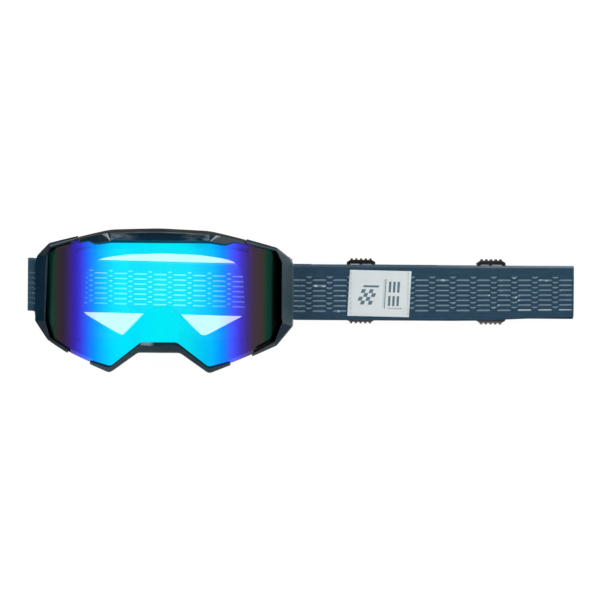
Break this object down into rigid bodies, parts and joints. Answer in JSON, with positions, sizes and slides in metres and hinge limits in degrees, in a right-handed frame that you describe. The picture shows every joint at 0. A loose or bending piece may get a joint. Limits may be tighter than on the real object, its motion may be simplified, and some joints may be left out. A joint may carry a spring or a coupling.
{
  "type": "motocross goggles",
  "caption": "Motocross goggles with a curved mirror lens, hinged outriggers, face foam and a folded elastic head strap with adjuster sliders.",
  "frame": {"origin": "on the table under the middle of the nose bridge, on the underside of the strap", "axes": "+X along the strap towards its fold, +Y to the brow, +Z out of the lens"},
  "size_m": [0.397, 0.0992, 0.0684],
  "materials": {
    "mirror_lens": "mirror coated, half transparent",
    "gasket": "matt",
    "frame": "satin moulded",
    "gloss_cover": "gloss",
    "nose_clip": "satin",
    "outrigger_navy": "satin",
    "outrigger_slate": "satin",
    "pin_steel": "ground",
    "firm_foam": "open foam",
    "soft_foam": "open foam",
    "fleece": "brushed fleece",
    "vent_foam": "open foam",
    "elastic": "woven elastic",
    "silicone_print": "printed silicone",
    "slider_plastic": "satin",
    "label_fabric": "woven label",
    "thread": "spun thread"
  },
  "bodies": {
    "goggles": {"lens": "mirror_lens", "lens_gasket": "gasket", "frame_chassis": "frame", "brow_cover": "gloss_cover", "nose_channel": "nose_clip", "left_pin": "pin_steel", "right_pin": "pin_steel", "foam_base": "firm_foam", "foam_comfort": "soft_foam", "fleece_lining": "fleece", "brow_vent_foam": "vent_foam", "left_cheek_vent_foam": "vent_foam", "right_cheek_vent_foam": "vent_foam", "left_strap": "elastic", "right_strap": "elastic", "strap_label": "label_fabric", "label_stitching": "thread", "left_loop_stitching": "thread", "right_loop_stitching": "thread"},
    "left_outrigger": {"left_outrigger": "outrigger_navy"},
    "right_outrigger": {"right_outrigger": "outrigger_slate"},
    "near_slider": {"near_slider": "slider_plastic", "right_strap_end": "elastic"},
    "far_slider": {"far_slider": "slider_plastic", "left_strap_end": "elastic"}
  },
  "joints": [
    {"name": "left_outrigger_hinge", "type": "hinge", "parent": "goggles", "child": "left_outrigger", "pos_m": [-0.0885, 0, 0.009], "axis": [0, -1, 0], "range_deg": [0, 20]},
    {"name": "right_outrigger_hinge", "type": "hinge", "parent": "goggles", "child": "right_outrigger", "pos_m": [0.0885, 0, 0.009], "axis": [0, 1, 0], "range_deg": [0, 20]},
    {"name": "near_slider_slide", "type": "slide", "parent": "goggles", "child": "near_slider", "axis": [1, 0, 0], "range_m": [-0.028, 0.028], "deforming": ["right_strap_end"]},
    {"name": "far_slider_slide", "type": "slide", "parent": "goggles", "child": "far_slider", "axis": [1, 0, 0], "range_m": [-0.028, 0.028], "deforming": ["left_strap_end"]}
  ]
}
